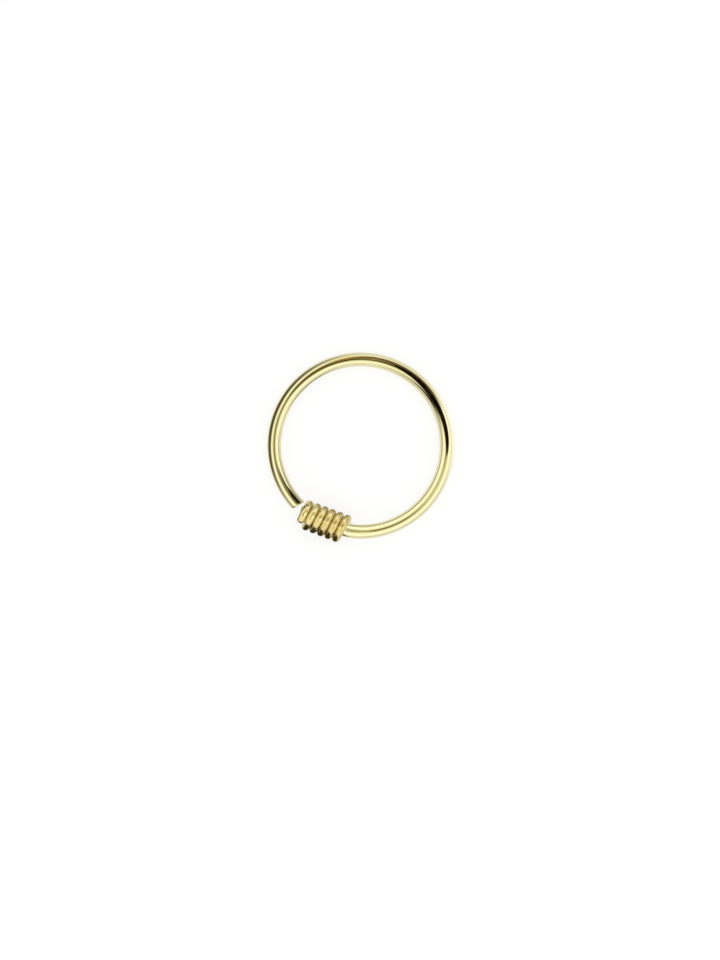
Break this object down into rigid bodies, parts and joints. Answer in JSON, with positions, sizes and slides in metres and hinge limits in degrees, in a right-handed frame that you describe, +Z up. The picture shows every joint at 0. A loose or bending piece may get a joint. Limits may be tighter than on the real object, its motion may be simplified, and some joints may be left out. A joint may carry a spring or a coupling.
{
  "type": "nose ring",
  "caption": "Round gold wire nose hoop, open at one side, with a thinner wire wound in a short coil over one end.",
  "frame": {"origin": "middle of the ring's footprint, on the surface that it lies on", "axes": "+Z up, through the ring from the surface it lies on; +X across the ring from the coil's side, the coil being at low X and low Y, and its core pointing 20.9 degrees below +X"},
  "size_m": [0.0106, 0.0108, 0.0017],
  "materials": {
    "hoop_gold": "bright polished pale yellow gold plate",
    "coil_gold": "polished yellow gold plate, slightly deeper in tone"
  },
  "bodies": {
    "root": {"hoop": "hoop_gold", "coil_wrap": "coil_gold"}
  },
  "joints": []
}
